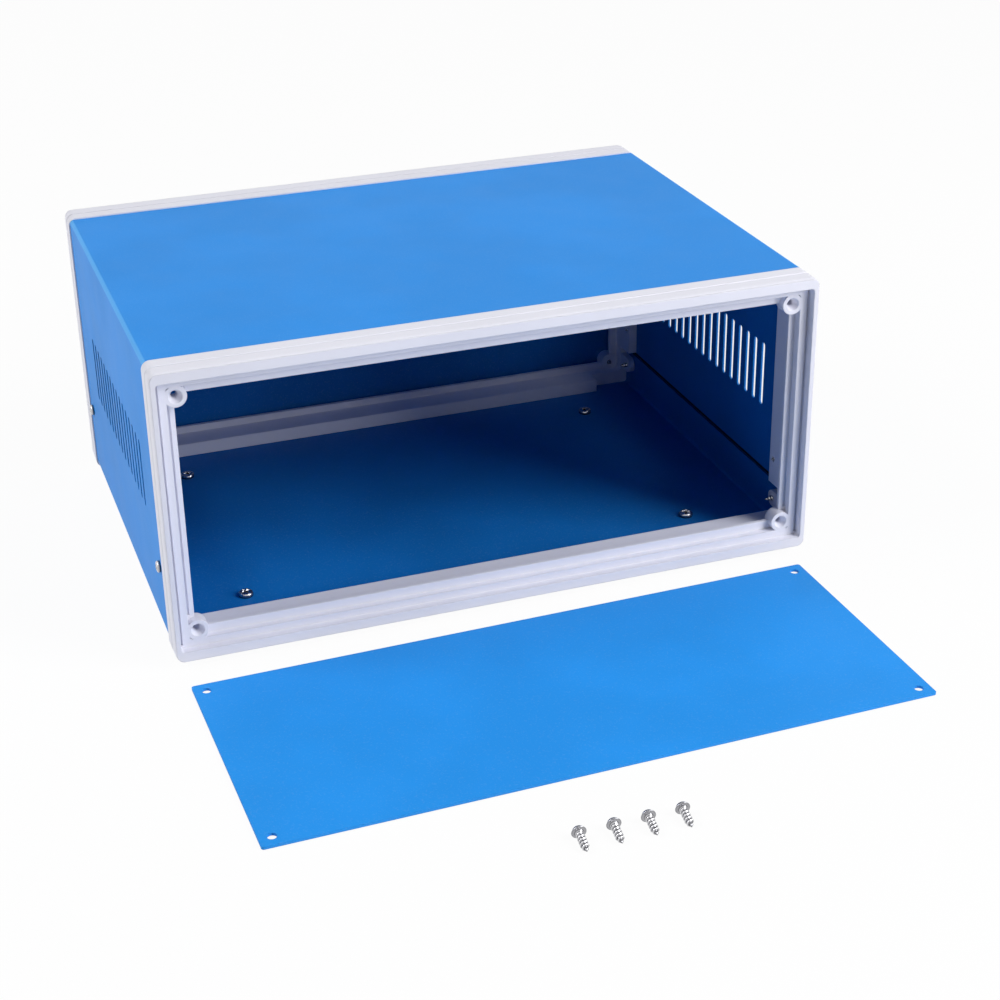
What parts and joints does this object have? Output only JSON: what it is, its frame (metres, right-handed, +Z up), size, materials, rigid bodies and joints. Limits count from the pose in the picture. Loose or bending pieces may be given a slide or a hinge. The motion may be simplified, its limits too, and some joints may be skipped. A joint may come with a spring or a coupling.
{
  "type": "instrument enclosure",
  "caption": "Vented blue sheet-metal instrument case between two stepped white moulded frames, on rubber feet, with its front panel and the panel's screws taken off and lying in front.",
  "frame": {"origin": "middle of the footprint of the case and of what lies in front of it, on the floor", "axes": "+Z up, +Y from the open front to the back, +X to the right of the open front"},
  "size_m": [0.252, 0.3378, 0.115],
  "materials": {
    "frame_plastic": "satin white moulded plastic",
    "blue_paint": "satin blue powder coat on steel sheet",
    "screw_steel": "bright zinc plate",
    "foot_rubber": "matt black rubber"
  },
  "bodies": {
    "root": {"front_frame": "frame_plastic", "rear_frame": "frame_plastic", "top_cover": "blue_paint", "bottom_plate": "blue_paint", "front_panel": "blue_paint", "rear_panel": "blue_paint", "foot_front_left": "foot_rubber", "foot_front_right": "foot_rubber", "foot_rear_left": "foot_rubber", "foot_rear_right": "foot_rubber", "foot_screw_front_left": "screw_steel", "foot_screw_front_right": "screw_steel", "foot_screw_rear_left": "screw_steel", "foot_screw_rear_right": "screw_steel", "foot_nut_front_left": "screw_steel", "foot_nut_front_right": "screw_steel", "foot_nut_rear_left": "screw_steel", "foot_nut_rear_right": "screw_steel", "cover_screw_front_left": "screw_steel", "cover_screw_front_right": "screw_steel", "cover_screw_rear_left": "screw_steel", "cover_screw_rear_right": "screw_steel", "flange_screw_front_left": "screw_steel", "flange_screw_front_right": "screw_steel", "flange_screw_rear_left": "screw_steel", "flange_screw_rear_right": "screw_steel", "rear_screw_top_left": "screw_steel", "rear_screw_top_right": "screw_steel", "rear_screw_low_left": "screw_steel", "rear_screw_low_right": "screw_steel", "loose_screw_1": "screw_steel", "loose_screw_2": "screw_steel", "loose_screw_3": "screw_steel", "loose_screw_4": "screw_steel"}
  },
  "joints": []
}
